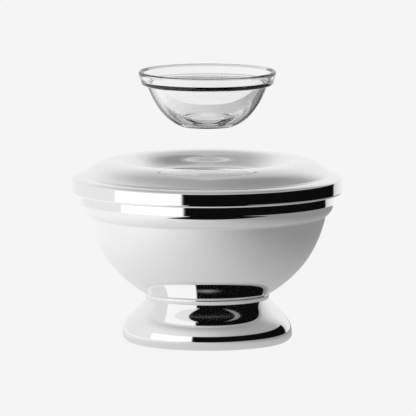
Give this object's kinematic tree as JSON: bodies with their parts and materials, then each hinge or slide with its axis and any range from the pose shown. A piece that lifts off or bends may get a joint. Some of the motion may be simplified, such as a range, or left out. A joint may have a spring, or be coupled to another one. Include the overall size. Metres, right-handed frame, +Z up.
{
  "type": "footed chilled server",
  "caption": "Footed polished steel ice bowl with a domed, lift-off ring collar that carries a small clear glass insert bowl.",
  "frame": {"origin": "centre of the ring that the foot stands on", "axes": "+Z up, along the axis that every part is turned about"},
  "size_m": [0.12, 0.12, 0.1211],
  "materials": {
    "clear_glass": "clear pressed glass, fire polished",
    "collar_steel": "mirror-polished stainless steel",
    "bowl_steel": "mirror-polished stainless steel",
    "foot_steel": "mirror-polished stainless steel",
    "braze": "buffed silver braze"
  },
  "bodies": {
    "base": {"ice_bowl": "bowl_steel", "braze_seam": "braze", "foot": "foot_steel"},
    "collar": {"collar": "collar_steel"},
    "insert": {"glass_insert": "clear_glass"}
  },
  "joints": [
    {"name": "collar_lift", "type": "slide", "parent": "base", "child": "collar", "axis": [0, 0, 1], "range_m": [0, 0.06]},
    {"name": "insert_lift", "type": "slide", "parent": "collar", "child": "insert", "axis": [0, 0, 1], "range_m": [-0.0394, 0.03]}
  ]
}
